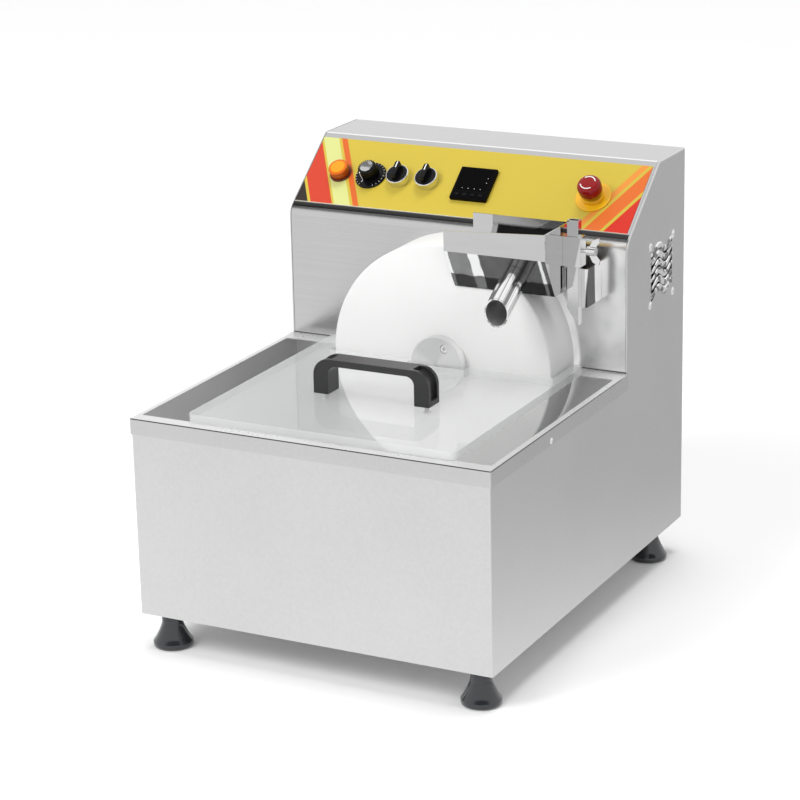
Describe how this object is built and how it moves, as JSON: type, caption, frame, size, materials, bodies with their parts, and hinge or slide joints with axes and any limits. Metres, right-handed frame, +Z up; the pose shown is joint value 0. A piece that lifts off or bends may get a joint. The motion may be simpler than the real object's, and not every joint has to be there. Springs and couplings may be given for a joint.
{
  "type": "chocolate melting tank",
  "caption": "Countertop chocolate melter: steel tank with a turning wheel, scraper chute with spout, clear lid and a rear drive housing with a sloped control panel.",
  "frame": {"origin": "on the table, under the middle of the overall box", "axes": "+Z up, +X to the right of a person facing the front, +Y from the front to the rear cover"},
  "size_m": [0.4558, 0.5566, 0.517],
  "materials": {
    "satin_steel": "satin",
    "bright_steel": "polished",
    "plated_steel": "plated",
    "chrome": "polished",
    "cast_grey": "painted",
    "white_plastic": "satin",
    "clear_acrylic": "clear",
    "black_plastic": "gloss",
    "dark_plastic": "matte",
    "black_rubber": "gloss",
    "motor_paint": "satin",
    "panel_yellow": "satin",
    "ring_yellow": "gloss",
    "lamp_amber": "gloss",
    "stop_red": "gloss",
    "display_window": "gloss",
    "key_grey": "matte",
    "heater_silicone": "matte",
    "blanket": "matte",
    "probe_steel": "satin",
    "board_green": "matte"
  },
  "bodies": {
    "machine": {"casing_wrap": "satin_steel", "hood": "satin_steel", "base_plate": "satin_steel", "rear_cover": "satin_steel", "tank_rim": "bright_steel", "basin": "satin_steel", "heater_mat": "heater_silicone", "insulation": "blanket", "temperature_probe": "probe_steel", "foot_front_left": "black_rubber", "foot_front_right": "black_rubber", "foot_rear_left": "black_rubber", "foot_rear_right": "black_rubber", "foot_studs": "plated_steel", "sheet_screws": "plated_steel", "flange_bearing": "cast_grey", "shaft_seal": "black_rubber", "gearbox": "cast_grey", "motor": "motor_paint", "motor_bracket": "plated_steel", "panel_film": "panel_yellow", "lamp_body": "black_plastic", "lamp_lens": "lamp_amber", "potentiometer": "black_plastic", "selector_a_bezel": "chrome", "selector_b_bezel": "chrome", "contact_blocks": "black_plastic", "controller": "black_plastic", "controller_window": "display_window", "stop_ring": "ring_yellow", "post": "bright_steel", "post_bracket": "bright_steel", "fan_frame": "dark_plastic", "heater_relay": "dark_plastic", "speed_board": "board_green", "terminal_block": "black_plastic", "power_inlet": "black_plastic"},
    "wheel_set": {"wheel": "white_plastic", "hub_plate": "bright_steel", "hub_bolts": "plated_steel", "wheel_shaft": "plated_steel", "coupling": "plated_steel", "gearbox_shaft": "plated_steel"},
    "lid_set": {"lid": "clear_acrylic", "lid_handle": "black_plastic", "handle_screws": "plated_steel"},
    "chute_set": {"chute": "bright_steel", "spout": "bright_steel", "sleeve": "bright_steel"},
    "wing_set": {"wing_screw": "bright_steel"},
    "knob_set": {"speed_knob": "black_plastic", "knob_cap": "chrome"},
    "selector_a_set": {"selector_a_knob": "black_plastic"},
    "selector_b_set": {"selector_b_knob": "black_plastic"},
    "stop_set": {"stop_head": "stop_red"},
    "key_1_set": {"key_1": "key_grey"},
    "key_2_set": {"key_2": "key_grey"},
    "key_3_set": {"key_3": "key_grey"},
    "key_4_set": {"key_4": "key_grey"},
    "fan_set": {"fan_rotor": "dark_plastic"}
  },
  "joints": [
    {"name": "wheel_turn", "type": "hinge", "parent": "machine", "child": "wheel_set", "pos_m": [0.018, 0.02325, 0.293], "axis": [0, 1, 0], "continuous": true},
    {"name": "lid_slide", "type": "slide", "parent": "machine", "child": "lid_set", "axis": [0, -1, 0], "range_m": [0, 0.36]},
    {"name": "chute_lift", "type": "slide", "parent": "machine", "child": "chute_set", "axis": [0, 0, 1], "range_m": [0, 0.03]},
    {"name": "wing_turn", "type": "hinge", "parent": "chute_set", "child": "wing_set", "pos_m": [0.198, 0.05125, 0.4399], "axis": [1, 0, 0], "range_deg": [0, 720]},
    {"name": "speed_turn", "type": "hinge", "parent": "machine", "child": "knob_set", "pos_m": [-0.135, 0.14603, 0.47793], "axis": [0, 0.6217, -0.7832], "range_deg": [0, 280]},
    {"name": "selector_a_turn", "type": "hinge", "parent": "machine", "child": "selector_a_set", "pos_m": [-0.096, 0.14603, 0.47793], "axis": [0, 0.6217, -0.7832], "range_deg": [-45, 45]},
    {"name": "selector_b_turn", "type": "hinge", "parent": "machine", "child": "selector_b_set", "pos_m": [-0.057, 0.14603, 0.47793], "axis": [0, 0.6217, -0.7832], "range_deg": [-45, 45]},
    {"name": "stop_press", "type": "slide", "parent": "machine", "child": "stop_set", "axis": [0, 0.6217, -0.7832], "range_m": [0, 0.006]},
    {"name": "key_1_press", "type": "slide", "parent": "machine", "child": "key_1_set", "axis": [0, 0.6217, -0.7832], "range_m": [0, 0.0006], "stiffness_N_per_m": 1500},
    {"name": "key_2_press", "type": "slide", "parent": "machine", "child": "key_2_set", "axis": [0, 0.6217, -0.7832], "range_m": [0, 0.0006], "stiffness_N_per_m": 1500},
    {"name": "key_3_press", "type": "slide", "parent": "machine", "child": "key_3_set", "axis": [0, 0.6217, -0.7832], "range_m": [0, 0.0006], "stiffness_N_per_m": 1500},
    {"name": "key_4_press", "type": "slide", "parent": "machine", "child": "key_4_set", "axis": [0, 0.6217, -0.7832], "range_m": [0, 0.0006], "stiffness_N_per_m": 1500},
    {"name": "fan_spin", "type": "hinge", "parent": "machine", "child": "fan_set", "pos_m": [0.2113, 0.20325, 0.383], "axis": [1, 0, 0], "continuous": true}
  ]
}
